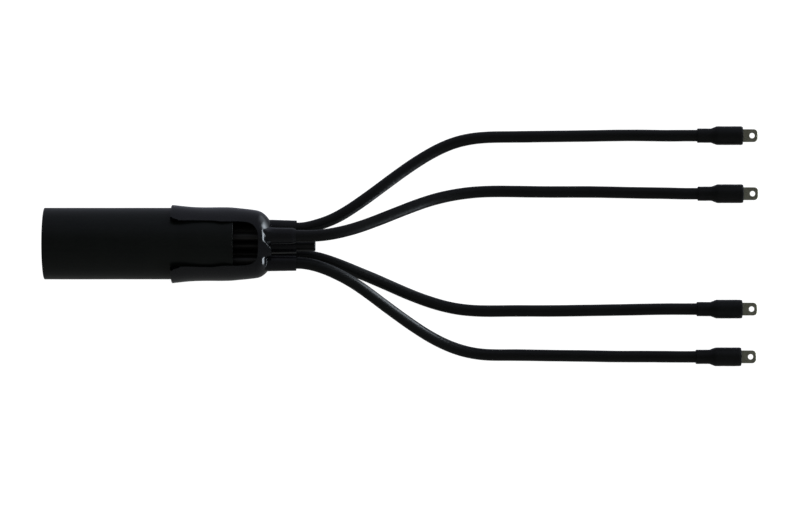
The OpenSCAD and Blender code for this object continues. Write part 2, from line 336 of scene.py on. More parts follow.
# ---------------------------------------------------------------- materials
class Mat:
    """Small helper for building node materials."""
    def __init__(self, name):
        self.m = bpy.data.materials.new(name)
        self.m.use_nodes = True
        self.t = self.m.node_tree
        self.t.nodes.clear()
        self.out = self.t.nodes.new("ShaderNodeOutputMaterial")
        self.b = self.t.nodes.new("ShaderNodeBsdfPrincipled")
        self.t.links.new(self.b.outputs[0], self.out.inputs[0])
        self.co = self.t.nodes.new("ShaderNodeTexCoord")

    def n(self, kind, **kw):
        node = self.t.nodes.new(kind)
        ins = kw.pop("ins", {})
        for k, v in kw.items():
            setattr(node, k, v)
        for k, v in ins.items():
            self.put(node.inputs[k], v)
        return node

    def put(self, socket, v):
        if isinstance(v, bpy.types.NodeSocket):
            self.t.links.new(v, socket)
        else:
            socket.default_value = v

    def mapped(self, scale, rot=(0, 0, 0)):
        mp = self.n("ShaderNodeMapping", ins={"Scale": scale, "Rotation": rot})
        self.t.links.new(self.co.outputs["Object"], mp.inputs["Vector"])
        return mp.outputs[0]

    def noise(self, scale, detail=3.0, rough=0.55, stretch=None, distortion=0.0):
        v = self.mapped(stretch) if stretch else self.co.outputs["Object"]
        return self.n("ShaderNodeTexNoise", ins={"Vector": v, "Scale": scale, "Detail": detail,
                      "Roughness": rough, "Distortion": distortion}).outputs["Fac"]

    def ramp(self, fac, lo, hi, a, b):
        return self.n("ShaderNodeMapRange", ins={"Value": fac, "From Min": lo, "From Max": hi,
                      "To Min": a, "To Max": b}).outputs[0]

    def math(self, op, a, b=0.0):
        node = self.n("ShaderNodeMath", operation=op)
        self.put(node.inputs[0], a)
        self.put(node.inputs[1], b)
        return node.outputs[0]

    def mix(self, fac, a, b):
        node = self.n("ShaderNodeMix", data_type="RGBA")
        self.put(node.inputs["Factor"], fac)
        self.put(node.inputs[6], (*a, 1) if isinstance(a, tuple) else a)
        self.put(node.inputs[7], (*b, 1) if isinstance(b, tuple) else b)
        return node.outputs[2]

    def bump(self, height, strength, distance, normal=None):
        node = self.n("ShaderNodeBump", ins={"Height": height, "Strength": strength, "Distance": distance})
        if normal is not None:
            self.t.links.new(normal, node.inputs["Normal"])
        return node.outputs[0]

    def set(self, **kw):
        names = {"color": "Base Color", "rough": "Roughness", "metal": "Metallic", "spec": "Specular IOR Level",
                 "normal": "Normal", "coat": "Coat Weight", "coat_rough": "Coat Roughness", "ior": "IOR",
                 "sheen": "Sheen Weight"}
        for k, v in kw.items():
            if isinstance(v, tuple):
                v = (*v, 1)
            self.put(self.b.inputs[names[k]], v)
        return self.m


def black_plastic(name, dark, light, rough, spec, grain, lines=0.0, smudge=0.5, wrinkle=0.0):
    """Black polymer: mottled tone, fine grain, lines drawn along the cable, and faint handling marks."""
    k = Mat(name)
    big = k.noise(28, 4, 0.6)
    fine = k.noise(900, 3, 0.6)
    drawn = k.noise(260, 4, 0.6, stretch=(0.035, 1, 1))
    marks = k.noise(75, 6, 0.7, stretch=(0.5, 1, 1), distortion=0.6)
    tone = k.math("ADD", k.math("MULTIPLY", big, 0.6), k.math("MULTIPLY", drawn, 0.4))
    colour = k.mix(k.ramp(tone, 0.35, 0.68, 0, 1), dark, light)
    speck = k.ramp(fine, 0.66, 0.8, 0, 0.35)
    colour = k.mix(speck, colour, tuple(min(1, c * 2.2) for c in light))
    r = k.math("ADD", k.ramp(marks, 0.3, 0.7, rough - 0.06 * smudge, rough + 0.09 * smudge),
               k.ramp(fine, 0.3, 0.7, -0.03, 0.03))
    h = k.math("ADD", k.math("MULTIPLY", fine, grain), k.math("MULTIPLY", drawn, lines))
    normal = k.bump(h, 0.6, 0.00012)
    if wrinkle:
        w = k.noise(95, 3, 0.5, stretch=(0.9, 0.35, 0.9), distortion=0.4)
        normal = k.bump(w, wrinkle, 0.0004, normal)
    return k.set(color=colour, rough=r, spec=spec, normal=normal)


M_SHEATH = black_plastic("sheath_black", (0.0013, 0.0018, 0.0015), (0.0025, 0.0031, 0.0027), 0.34, 0.28, 0.5, 0.8)
M_BOOT = black_plastic("boot_black", (0.0033, 0.0034, 0.0040), (0.0048, 0.0049, 0.0058), 0.15, 0.29, 0.10, 0.05, 0.5, 0.05)
M_TUBE = black_plastic("tube_black", (0.0015, 0.0017, 0.0018), (0.0026, 0.0028, 0.0030), 0.33, 0.28, 0.4, 0.5)
M_SLEEVE = black_plastic("sleeve_black", (0.0015, 0.0017, 0.0018), (0.0026, 0.0028, 0.0030), 0.34, 0.28, 0.6, 0.2, 0.6, 0.1)
M_CAP = black_plastic("cap_black", (0.0016, 0.0016, 0.0017), (0.0028, 0.0028, 0.0030), 0.34, 0.32, 0.5, 0.2)
M_INS = black_plastic("insulation_black", (0.0035, 0.0035, 0.0035), (0.0055, 0.0055, 0.0055), 0.32, 0.40, 0.3, 0.6)


def metal_lug():
    k = Mat("lug_dull_tin")
    big = k.noise(160, 5, 0.65)
    speck = k.noise(900, 4, 0.7)
    pits = k.noise(2300, 2, 0.5)
    c = k.mix(k.ramp(big, 0.35, 0.65, 0, 1), (0.33, 0.32, 0.235), (0.445, 0.43, 0.33))
    c = k.mix(k.ramp(speck, 0.52, 0.72, 0, 0.8), c, (0.62, 0.60, 0.50))
    c = k.mix(k.ramp(speck, 0.46, 0.3, 0, 0.75), c, (0.18, 0.175, 0.125))
    r = k.ramp(speck, 0.3, 0.7, 0.38, 0.58)
    h = k.math("ADD", k.math("MULTIPLY", speck, 0.8), k.math("MULTIPLY", pits, 0.3))
    return k.set(color=c, rough=r, metal=1.0, normal=k.bump(h, 0.35, 0.00015))


def copper():
    k = Mat("conductor_copper")
    big = k.noise(300, 4, 0.6)
    saw = k.noise(700, 3, 0.6, stretch=(1, 0.12, 1))
    c = k.mix(k.ramp(big, 0.35, 0.65, 0, 1), (0.42, 0.185, 0.095), (0.60, 0.30, 0.17))
    return k.set(color=c, rough=k.ramp(saw, 0.3, 0.7, 0.28, 0.5), metal=1.0,
                 normal=k.bump(saw, 0.3, 0.0001))


def bedding():
    k = Mat("bedding_grey")
    big = k.noise(90, 4, 0.6)
    fine = k.noise(1500, 4, 0.7)
    saw = k.noise(420, 3, 0.6, stretch=(1, 0.06, 1))
    c = k.mix(k.ramp(big, 0.35, 0.65, 0, 1), (0.045, 0.044, 0.042), (0.085, 0.083, 0.079))
    c = k.mix(k.ramp(fine, 0.55, 0.8, 0, 0.7), c, (0.17, 0.168, 0.16))
    h = k.math("ADD", k.math("MULTIPLY", fine, 0.6), k.math("MULTIPLY", saw, 0.8))
    return k.set(color=c, rough=0.85, spec=0.2, normal=k.bump(h, 0.5, 0.0003))


M_LUG, M_COPPER, M_BED = metal_lug(), copper(), bedding()

# ---------------------------------------------------------------- the four lug sleeves
lugs, sleeves = [], []


def lug_profile():
    return fillet([(0, 5.95), (17, 5.95), (17, 5.52), (34.5, 5.52), (36.5, 6.75, 0.5), (46, 6.75, 0.12),
                   (45.95, 7.1, 0.15), (45.6, 9.1, 0.1), (43.8, 9.5, 1.5), (19.6, 9.5, 4), (13.8, 7.25, 3), (0, 7.25, 0.7)])


for i in range(4):
    s = SLEEVE_X[i] * 1000
    ph = i * 1.7

    def soft(S, A, R, ph=ph):
        """The neck hugs the tube a little unevenly, as shrink sleeve does."""
        wave = 0.025 * np.sin(S * 0.9 + 2 * A + ph) + 0.02 * np.sin(S * 0.37 + 3 * A + 2 * ph) - 0.05
        outer = R > 6.9
        return S, np.where(outer, R + wave, R)

    def shape(X, R, A, s=s, soft=soft):
        x, r = soft(X, A, R)
        return x + s, r
    prof = dense(lug_profile(), 1.6)
    o = lathe(f"core_{i + 1}_lug_sleeve_skin", prof, (LUG_Y[i] * 1000, LUG_Z), [M_SLEEVE], 72, shape)
    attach(o, "root"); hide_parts(f"core_{i + 1}_lug_sleeve")
    sleeves.append(o)


# ---------------------------------------------------------------- signed distance tools
def smin(a, b, k):
    h = np.maximum(k - np.abs(a - b), 0) / k
    return np.minimum(a, b) - h * h * k / 4


def smax(a, b, k):
    return -smin(-a, -b, k)


def poly_sd(px, py, P):
    """Signed distance from points to a closed polygon, inside negative."""
    d = np.full(px.shape, 1e18)
    s = np.ones(px.shape)
    n = len(P)
    for i in range(n):
        ax, ay = P[i]
        bx, by = P[(i + 1) % n]
        ex, ey = bx - ax, by - ay
        wx, wy = px - ax, py - ay
        t = np.clip((wx * ex + wy * ey) / (ex * ex + ey * ey + 1e-18), 0, 1)
        d = np.minimum(d, (wx - ex * t) ** 2 + (wy - ey * t) ** 2)
        c1, c2, c3 = py >= ay, py < by, ex * wy > ey * wx
        s = np.where((c1 & c2 & c3) | (~c1 & ~c2 & ~c3), -s, s)
    return s * np.sqrt(d)


def smooth_line(P, sub):
    """Open Catmull-Rom line through the points P."""
    P = np.asarray(P, float)
    Q = np.concatenate([[2 * P[0] - P[1]], P, [2 * P[-1] - P[-2]]])
    out = []
    for i in range(1, len(Q) - 2):
        p0, p1, p2, p3 = Q[i - 1], Q[i], Q[i + 1], Q[i + 2]
        l0 = max(np.linalg.norm(p1 - p0), 1e-6) ** 0.5
        l1 = max(np.linalg.norm(p2 - p1), 1e-6) ** 0.5
        l2 = max(np.linalg.norm(p3 - p2), 1e-6) ** 0.5
        m1 = (p2 - p1) + l1 * ((p1 - p0) / l0 - (p2 - p0) / (l0 + l1))
        m2 = (p2 - p1) + l1 * ((p3 - p2) / l2 - (p3 - p1) / (l1 + l2))
        for t in np.arange(sub) / sub:
            h = (2 * t ** 3 - 3 * t * t + 1, t ** 3 - 2 * t * t + t, -2 * t ** 3 + 3 * t * t, t ** 3 - t * t)
            out.append(h[0] * p1 + h[1] * m1 + h[2] * p2 + h[3] * m2)
    out.append(P[-1])
    return np.array(out)


class Table2D:
    """A signed distance field of two variables on a fine grid, read by bilinear interpolation."""
    def __init__(self, P, lo, hi, step):
        self.lo, self.step = np.array(lo, float), step
        n = [int(math.ceil((hi[k] - lo[k]) / step)) + 1 for k in (0, 1)]
        gx, gy = np.meshgrid(lo[0] + np.arange(n[0]) * step, lo[1] + np.arange(n[1]) * step, indexing="ij")
        self.v = poly_sd(gx.ravel(), gy.ravel(), P).reshape(n)
        self.n = n

    def __call__(self, x, y):
        u = np.clip((x - self.lo[0]) / self.step, 0, self.n[0] - 1.001)
        w = np.clip((y - self.lo[1]) / self.step, 0, self.n[1] - 1.001)
        i, j = u.astype(int), w.astype(int)
        u, w = u - i, w - j
        v = self.v
        return (v[i, j] * (1 - u) * (1 - w) + v[i + 1, j] * u * (1 - w)
                + v[i, j + 1] * (1 - u) * w + v[i + 1, j + 1] * u * w)


def slope_of(f, P, h=0.05):
    g = np.zeros_like(P)
    for c in range(3):
        d = np.zeros(3)
        d[c] = h
        g[:, c] = (f(P + d) - f(P - d)) / (2 * h)
    return g


def surface_net(S, points, wrap, f):
    """Dual contouring of a grid of values S of f, with its corner points given by points(i, j, k).
    wrap joins the last axis into a ring. Returns vertices, quads and which vertices lie on an edge."""
    nx, ny, nz = S.shape
    neg = S < 0
    cells = (nx - 1, ny - 1, nz if wrap else nz - 1)
    def cid(i, j, k):
        return (i * cells[1] + j) * cells[2] + (k % cells[2] if wrap else k)
    pts, nrm, ids, quads = [], [], [], []
    for ax in range(3):
        if ax == 2 and wrap:
            a, b = neg, np.roll(neg, -1, 2)
        else:
            sl0 = [slice(None)] * 3; sl1 = [slice(None)] * 3
            sl0[ax] = slice(0, -1); sl1[ax] = slice(1, None)
            a, b = neg[tuple(sl0)], neg[tuple(sl1)]
        I = np.argwhere(a != b)
        o1, o2 = [(1, 2), (2, 0), (0, 1)][ax]
        ok = np.ones(len(I), bool)
        for o in (o1, o2):
            if not (o == 2 and wrap):
                ok &= (I[:, o] > 0) & (I[:, o] < S.shape[o] - 1)
        I = I[ok]
        J = I.copy()
        J[:, ax] += 1
        Jm = J.copy()
        if ax == 2 and wrap:
            Jm[:, 2] %= nz
        s0 = S[I[:, 0], I[:, 1], I[:, 2]]
        s1 = S[Jm[:, 0], Jm[:, 1], Jm[:, 2]]
        t = (s0 / (s0 - s1))[:, None]
        a, b = points(*I.T), points(*J.T)
        # the crossing, made exact by two steps of false position
        t0, t1, v0, v1 = np.zeros(len(I)), np.ones(len(I)), s0.copy(), s1.copy()
        for _ in range(2):
            t = np.clip(v0 / (v0 - v1), 0.02, 0.98) * (t1 - t0) + t0
            v = f(a + (b - a) * t[:, None])
            same = (v < 0) == (v0 < 0)
            t0, v0 = np.where(same, t, t0), np.where(same, v, v0)
            t1, v1 = np.where(same, t1, t), np.where(same, v1, v)
        t = v0 / (v0 - v1) * (t1 - t0) + t0
        p = a + (b - a) * t[:, None]
        g = slope_of(f, p, 0.03)
        g /= np.maximum(np.linalg.norm(g, axis=1), 1e-6)[:, None]
        quad = []
        for d1, d2 in ((-1, -1), (0, -1), (0, 0), (-1, 0)):
            C = I.copy()
            C[:, o1] += d1
            C[:, o2] += d2
            c = cid(*C.T)
            quad.append(c)
            ids.append(c)
            pts.append(p)
            nrm.append(g)
        q = np.stack(quad, 1)
        flip = s0 > 0
        q[flip] = q[flip][:, ::-1]
        quads.append(q)
    ids, pts, nrm, quads = (np.concatenate(v) for v in (ids, pts, nrm, quads))
    used, inv = np.unique(ids, return_inverse=True)
    cnt = np.bincount(inv).astype(float)
    def total(w):
        return np.bincount(inv, weights=w)
    V = np.stack([total(pts[:, c]) / cnt for c in range(3)], 1)
    off = pts - V[inv]
    pull = (nrm * off).sum(1)
    A = np.zeros((len(V), 3, 3))
    B = np.zeros((len(V), 3))
    for r in range(3):
        B[:, r] = total(nrm[:, r] * pull)
        for c in range(3):
            A[:, r, c] = total(nrm[:, r] * nrm[:, c])
    A += (0.04 * cnt)[:, None, None] * np.eye(3)
    move = np.linalg.solve(A, B[:, :, None])[:, :, 0]
    reach = 1.6 * np.sqrt(total((off * off).sum(1)) / cnt)
    far = np.linalg.norm(move, axis=1)
    move *= np.minimum(1, reach / np.maximum(far, 1e-9))[:, None]
    mean = np.stack([total(nrm[:, c]) / cnt for c in range(3)], 1)
    return V + move, np.searchsorted(used, quads), np.linalg.norm(mean, axis=1) < 0.95


def snap(V, F, f, fixed, rounds=3, relax=2, keep=0.6):
    """Evens the net out and puts its vertices on f = 0, but for the fixed ones."""
    e = np.unique(np.sort(np.concatenate([F[:, [0, 1]], F[:, [1, 2]], F[:, [2, 3]], F[:, [3, 0]]]), axis=1), axis=0)
    deg = np.bincount(e.ravel(), minlength=len(V))[:, None]
    free = (~fixed)[:, None]
    for r in range(relax + 1):
        for _ in range(rounds if r == relax else 1):
            g = slope_of(f, V)
            n2 = np.maximum((g * g).sum(1), 0.05)
            V = V - free * np.clip(f(V) / n2, -0.8, 0.8)[:, None] * g
        if r < relax:
            g = slope_of(f, V)
            g /= np.maximum(np.linalg.norm(g, axis=1), 1e-6)[:, None]
            m = np.zeros_like(V)
            for c in range(3):
                m[:, c] = np.bincount(e[:, 0], weights=V[e[:, 1], c], minlength=len(V)) \
                    + np.bincount(e[:, 1], weights=V[e[:, 0], c], minlength=len(V))
            step = m / deg - V
            step -= (step * g).sum(1)[:, None] * g
            V = V + free * keep * step
    return V


# ---------------------------------------------------------------- the boot
BOOT_LINE = [(-8.2, 38.05), (-7.9, 38.7), (-7.1, 38.95), (-5, 38.75), (0, 38.25), (5, 37.7), (10, 37.25),
             (15, 36.95), (20, 36.8), (28, 36.7), (40, 36.8), (50, 36.65), (55, 36.3), (60, 35.85), (65, 35.4),
             (70, 34.85), (75, 34.2), (78.2, 33.6), (80.4, 32.8), (82.5, 31.7), (84.6, 30.15), (86.6, 28.15), (88.5, 25.75),
             (89.9, 23.45), (91.0, 20.2), (91.7, 16.0), (92.0, 9.5), (92.2, 0.0)]
# the same between fingers 2 and 4, where the dome runs on as a straight web
WEB_LINE = [(74, 34.7), (77, 33.75), (82, 31.75), (87, 29.6), (91.5, 27.6), (97, 25.0)]
# and beside fingers 2 and 3, where it drops steeply
STEEP_LINE = [(75, 34.2), (78.2, 33.75), (81.0, 33.15), (82.9, 32.4), (84.2, 31.4), (85.3, 30.1), (86.2, 28.4), (86.8, 26.2),
              (87.1, 22.5), (87.2, 15.0), (87.3, 0.0)]
CAVITY_LINE = [(86.6, 0.0), (86.3, 10.0), (85.6, 18.0), (84.2, 23.4), (82, 27.2), (79, 29.8), (75, 31.6), (70, 32.7),
               (62, 33.5), (56, 34.0), (53.8, 35.0), (52.5, 35.42)]
WINDOW = [(-20, 33.0), (-15.5, 30.8), (-12.5, 29.0), (-10.8, 27.5), (-9.7, 26.2), (-8.8, 25.0), (-7.8, 23.9), (-6.7, 23.35),
          (-5.2, 23.2), (-2.5, 23.15), (2, 23.15), (8, 23.2), (14, 23.2), (24, 23.1),
          (33, 22.95), (38, 22.5), (42, 22.15), (50, 22.15), (58, 22.2), (63, 21.95), (67, 21.5), (71, 20.4), (74.2, 18.4),
          (76.5, 15.6), (78.1, 12.4), (78.8, 8.5), (78.9, 2), (78.9, -4), (78.7, -9), (77.9, -13.6), (76, -16.9),
          (73.3, -19.3), (70, -20.6), (66, -21.2), (60, -21.6), (50, -21.6), (44, -21.8), (39, -22.35), (34, -22.9),
          (24, -22.9), (14, -22.6), (8, -22.55), (2, -22.5), (-2.5, -22.5), (-5.2, -22.55), (-6.8, -22.7), (-8, -23.0), (-9, -23.5),
          (-10, -24.3), (-11.5, -25.6), (-14, -27.8), (-20, -31.0)]


def swell(x, c):
    """How much the cable is fuller behind the boot than in it, and bent away; c is the cosine of the angle from +Y."""
    t = np.clip((-4.0 - x) / 4.2, 0, 1)
    return t * t * (3 - 2 * t) * (0.27 + 0.3 * c + 0.1 * c * c)


def build_boot():
    out = smooth_line(BOOT_LINE, 5)
    web = smooth_line(BOOT_LINE[:16] + WEB_LINE, 5)
    steep = smooth_line(BOOT_LINE[:16] + STEEP_LINE, 5)
    ends = ([[-8.2, -30.0]], [[92.2, -30.0]])
    out_t = Table2D(np.concatenate([ends[0], out, ends[1]]), (-14, -1), (122, 44), 0.2)
    web_t = Table2D(np.concatenate([ends[0], web, [[97.0, -30.0]]]), (-14, -1), (122, 44), 0.2)
    steep_t = Table2D(np.concatenate([ends[0], steep, [[87.3, -30.0]]]), (-14, -1), (122, 44), 0.2)
    cav = smooth_line(CAVITY_LINE, 5)
    cav_t = Table2D(np.concatenate([[[86.6, -30.0]], cav, [[-30.0, 35.42], [-30.0, -30.0]]]), (-14, -1), (122, 44), 0.2)
    win = smooth_line(WINDOW, 4)
    win_t = Table2D(win, (-14, -42), (122, 42), 0.25)
    cents = [place(i, 20.0) for i in range(4)] + [(OFF, AXIS)]
    cents = [(y, z - AXIS) for y, z in cents]

    def rise(v, lo, hi):
        t = np.clip((v - lo) / (hi - lo), 0, 1)
        return t * t * (3 - 2 * t)

    def f(P):
        x, y, z = P[:, 0], P[:, 1], P[:, 2]
        # the barrel sits a little off the cable's axis
        ys = y + 0.2 + 0.15 * rise(x, 70, 84) - 0.35 * rise(x, 90, 94)
        rho = np.sqrt(ys * ys + z * z)
        th = np.arctan2(z, y)
        # the flaps beside the window lift off the sheath, and the rim is not quite round
        sw = win_t(x, y)
        lift = 2.1 * np.exp(-np.maximum(sw, 0) / 5.0) * (z > 0) * np.clip((64 - x) / 20, 0, 1)
        lift = lift * (0.8 + 0.2 * np.sin(x * 0.13 + 1.1))
        wav = 0.10 * np.sin(3 * th + x * 0.06) * np.clip((40 - x) / 50, 0, 1) + 0.05 * np.sin(5 * th - x * 0.11 + 1)
        r1 = rho - lift - wav
        # the dome drawn in steeply beside fingers 2 and 4, with a straight web between them
        turn = np.degrees(th)
        v = rise(turn, 56, 66) * (1 - rise(turn, 128, 142))
        d = out_t(x, r1)
        d = d + v * (steep_t(x, r1) - d)
        # the web's two sides, seen from above
        high = np.interp(x, [80, 84.1, 86.6, 88.1, 90, 91.8], [2.8, 2.3, 1.8, -0.2, -2.2, -4.65])
        low = np.interp(x, [84, 88], [-13.6, -12.6])
        soft = np.interp(x, [81, 86], [2.2, 0.5])
        w = rise((high - y) / soft, -1, 1) * rise((y - low) / soft, -1, 1) * (z > 0)
        d = d + w * (np.maximum(web_t(x, r1), x - 91.9) - d)
        fd = []
        for n, (cy, cz) in enumerate(cents):
            rr = np.sqrt((y - cy) ** 2 + (z - cz) ** 2)
            rad = 8.3 - 0.45 * (x - 90) / 26 + 0.03 * np.sin(x * 0.8 + cy)
            if n == 0:
                rad = rad + 0.35 * np.clip((116 - x) / 20, 0, 1)
            if n == 1:
                # its crest runs up on to the dome
                crest = np.exp(-((np.degrees(np.arctan2(z - cz, y - cy)) - 66) / 21) ** 2)
                rad = rad - 1.0 * np.clip((x - 113.0) / 3.4, 0, 1) + (0.6 + 3.8 * crest) * (1 - rise(x, 81, 97))
            q = np.maximum(np.maximum(rr - rad, x - 116.5), 70 - x)
            fd.append(q)
        d = smin(d, fd[1], 0.12)
        others = smin(smin(fd[0], fd[2], 1.0), smin(fd[3], fd[4], 1.0), 1.0)
        d = smin(d, others, 0.15)
        rc = np.sqrt(y * y + z * z)
        c = cav_t(x, rc - lift - swell(x, y / np.maximum(rc, 0.1)))
        for (cy, cz) in cents:
            rr = np.sqrt((y - cy) ** 2 + (z - cz) ** 2)
            q = np.maximum(rr - 5.96, 78 - x)
            c = smin(c, q, 1.0)
        d = np.maximum(d, -c)
        w = np.where(z > 2, sw, np.maximum(sw, 2 - z))
        return smax(d, -w, 0.7)

    def steps(*runs):
        g = [runs[0][0]]
        for a, b, h in runs:
            n = max(1, round((b - a) / h))
            g += list(a + (b - a) * (np.arange(n) + 1) / n)
        return np.array(g)
    gx = steps((-9.3, -3.8, 0.42), (-3.8, 2.2, 1.0), (2.2, 50, 2.3), (50, 56, 0.9), (56, 76, 1.3), (76, 93.4, 0.65), (93.4, 112.8, 2.0), (112.8, 116.4, 0.6), (116.4, 117, 0.3))
    gr = steps((0.6, 8, 0.8), (8, 32, 0.7), (32, 40.0, 0.4))
    nt = 248
    gt = np.arange(nt) * 2 * math.pi / nt

    def points(i, j, k):
        return np.stack([gx[i], gr[j] * np.cos(gt[k]), gr[j] * np.sin(gt[k])], 1)
    I = np.indices((len(gx), len(gr), nt)).reshape(3, -1)
    S = np.concatenate([f(points(*c)) for c in np.array_split(I, 12, axis=1)]).reshape(len(gx), len(gr), nt)
    V, F, fixed = surface_net(S, points, True, f)
    V = snap(V, F, f, fixed)
    print(f"boot: {len(F)} faces, {int(fixed.sum())} points on edges")
    V[:, 2] += AXIS
    V[:, 2] = np.maximum(V[:, 2], 0.0)
    o = mesh_object("breakout_boot_skin", V, F, [M_BOOT])
    outward(o)
    sharpen(o, 48)
    return o


boot = build_boot()
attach(boot, "root"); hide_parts("breakout_boot")

# ---------------------------------------------------------------- the lugs
def build_lug():
    """A tinned tube lug: barrel, flattened neck and a palm with a bolt hole, about its sleeve's start."""
    tip, hole = 60.8, 55.3
    def f(P):
        x, y, z = P[:, 0], P[:, 1], P[:, 2]
        rr = np.sqrt(y * y + z * z)
        barrel = smax(rr - 5.5, np.maximum(17.5 - x, x - 34), 0.5)
        t = np.clip((x - 31.5) / 9.0, 0, 1)
        t = t * t * (3 - 2 * t)
        hy, hz = 5.5 + (6.45 - 5.5) * t, 5.5 + (1.42 - 5.5) * t
        e = 2 + 6 * t
        neck = (np.abs(y / hy) ** e + np.abs(z / hz) ** e + 1e-9) ** (1 / e) - 1
        neck = np.maximum(neck * hz * 0.9, np.maximum(31.5 - x, x - 47))
        # palm
        qx, qy = np.abs(x - (41 + tip) / 2) - (tip - 41) / 2 + 4.0, np.abs(y) - 6.45 + 4.0
        flat = np.sqrt(np.maximum(qx, 0) ** 2 + np.maximum(qy, 0) ** 2) + np.minimum(np.maximum(qx, qy), 0) - 4.0
        palm = smax(flat, np.abs(z) - 1.5, 0.4)
        d = np.minimum(smin(barrel, neck, 0.8), palm)
        hd = np.sqrt((x - hole) ** 2 + y * y) - 2.75
        hd = hd - 0.1 * np.clip((np.abs(z) - 1.35) / 0.15, 0, 1)
        d = smax(d, -hd, 0.15)
        bore = np.maximum(rr - 3.2, x - 31)
        return smax(d, -bore, 0.2)
    gx = np.concatenate([np.arange(17.0, 40, 1.1), np.arange(40.2, 61.7, 0.42)])
    gy = np.arange(-7.14, 7.2, 0.42)
    gz = np.concatenate([np.arange(-6.1, -2.1, 0.6), np.arange(-2.0, 2.05, 0.2), np.arange(2.6, 6.5, 0.6)])
    def points(i, j, k):
        return np.stack([gx[i], gy[j], gz[k]], 1)
    I = np.indices((len(gx), len(gy), len(gz))).reshape(3, -1)
    S = f(points(*I)).reshape(len(gx), len(gy), len(gz))
    V, F, fixed = surface_net(S, points, False, f)
    return snap(V, F, f, fixed, 3, 1, 0.4), F


LV, LF = build_lug()
for i in range(4):
    V = LV + np.array([SLEEVE_X[i] * 1000, LUG_Y[i] * 1000, LUG_Z])
    o = mesh_object(f"core_{i + 1}_lug_body", V, LF, [M_LUG])
    outward(o)
    sharpen(o, 50)
    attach(o, "root"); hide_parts(f"core_{i + 1}_lug")
    lugs.append(o)

# ---------------------------------------------------------------- tubes, insulation, conductors
for i in range(4):
    s = SLEEVE_X[i] * 1000
    ph = 0.9 + 2.3 * i

    def hug(S, A, R, ph=ph):
        """A shrink tube's slight unevenness over the core in it."""
        return R + 0.02 * np.sin(S * 0.21 + ph) + 0.015 * np.sin(S * 0.093 + 2 * A + ph) - 0.035
    P = core_path(i, np.concatenate([np.arange(100, 118, 3.0), np.arange(118, 320, 1.8), np.arange(320, 430, 4.0),
                                     np.arange(430, s + 17, 2.5), [s + 17]]))
    o = pipe(f"core_{i + 1}_tube_skin", P, INS_R, TUBE_R, 40, [M_TUBE], hug, 0.3)
    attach(o, "root"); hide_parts(f"core_{i + 1}_tube")
    L = float(np.linalg.norm(np.diff(P, axis=0), axis=1).sum()) * MM
    print(f"core {i + 1} tube length {L:.4f} m")
    P = core_path(i, np.concatenate([[-135.5, -60, 0, 40, 60, 70], np.arange(76, 118, 3.0), np.arange(118, 320, 4.0),
                                     np.arange(320, s + 17, 12.0), [s + 17]]))
    o = pipe(f"core_{i + 1}_insulation_skin", P, CON_R, INS_R - 0.02, 32, [M_INS], None, 0.15)
    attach(o, "root"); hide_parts(f"core_{i + 1}_insulation")


def strands(name, P, r, node):
    """Seven wires laid up in a twist along the points P, ending flat at both ends."""
    P = np.asarray(P, float)
    T, S, U = frames(P)
    run = np.concatenate([[0], np.cumsum(np.linalg.norm(np.diff(P, axis=0), axis=1))])
    wr = r / 3
    sides = 10
    a = np.arange(sides) * 2 * math.pi / sides
    V, F = [], []
    at = 0
    for w in range(7):
        if w == 0:
            C = P
        else:
            ang = (w - 1) * math.pi / 3 + run * 2 * math.pi / 70
            C = P + 2 * wr * (np.cos(ang)[:, None] * S + np.sin(ang)[:, None] * U)
        q = C[:, None, :] + 0.985 * wr * (np.cos(a)[None, :, None] * S[:, None, :] + np.sin(a)[None, :, None] * U[:, None, :])
        m = len(C)
        V.append(q.reshape(-1, 3))
        k = np.arange(m - 1)[:, None] * sides + at
        j = np.arange(sides)[None, :]
        n = (j + 1) % sides
        F += np.stack([k + j, k + sides + j, k + sides + n, k + n], 2).reshape(-1, 4).tolist()
        F.append([at + v for v in range(sides)])
        F.append([at + m * sides - 1 - v for v in range(sides)])
        at += m * sides
    o = mesh_object(name, np.concatenate(V), F, [M_COPPER])
    outward(o)
    sharpen(o, 50)
    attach(o, "root"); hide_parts(node)
    return o


for i in range(4):
    s = SLEEVE_X[i] * 1000
    strands(f"core_{i + 1}_wires", core_path(i, np.concatenate([np.arange(-135.5, -100, 3.0), np.arange(-100, s + 30, 7.0), [s + 30.5]])),
            CON_R, f"core_{i + 1}_conductor")
X = np.concatenate([np.arange(-135.5, -100, 3.0), np.arange(-100, 126, 7.0), [126.5]])
strands("spare_wires", np.stack([X, 0 * X + OFF, 0 * X + AXIS], 1), CON_R, "spare_conductor")
o = lathe("spare_insulation_skin", dense(fillet([(-135.5, 3.2), (126.5, 3.2), (126.5, 4.48, 0.2), (-135.5, 4.48, 0.15)]), 12),
          (OFF, AXIS), [M_INS], 40)
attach(o, "root"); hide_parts("spare_insulation")
prof = np.concatenate([[(100, 4.5), (126.5, 4.5), (126.5, 0.0), (135.5, 0.0)],
                       smooth_line([(135.5, 4.4), (135.42, 5.0), (135.1, 5.4), (134.5, 5.55), (133, 5.6), (128, 5.65), (118, 5.7)], 4),
                       [(100.5, 5.7), (100, 5.4)]])
o = lathe("spare_core_cap_skin", dense(prof, 2.5), (OFF, AXIS), [M_CAP], 56,
          lambda X, R, A: (X, np.where(R > 5.0, R + 0.05 * np.sin(X * 0.7 + 2 * A), R)))
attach(o, "root"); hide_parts("spare_core_cap")

# ---------------------------------------------------------------- the sheath and its bedding
prof = fillet([(-135.5, 31.56), (53.9, 31.56), (53.9, 35.4, 0.24), (-3.9, 35.4), (-8.3, 35.4), (-135.5, 35.4, 0.5)])


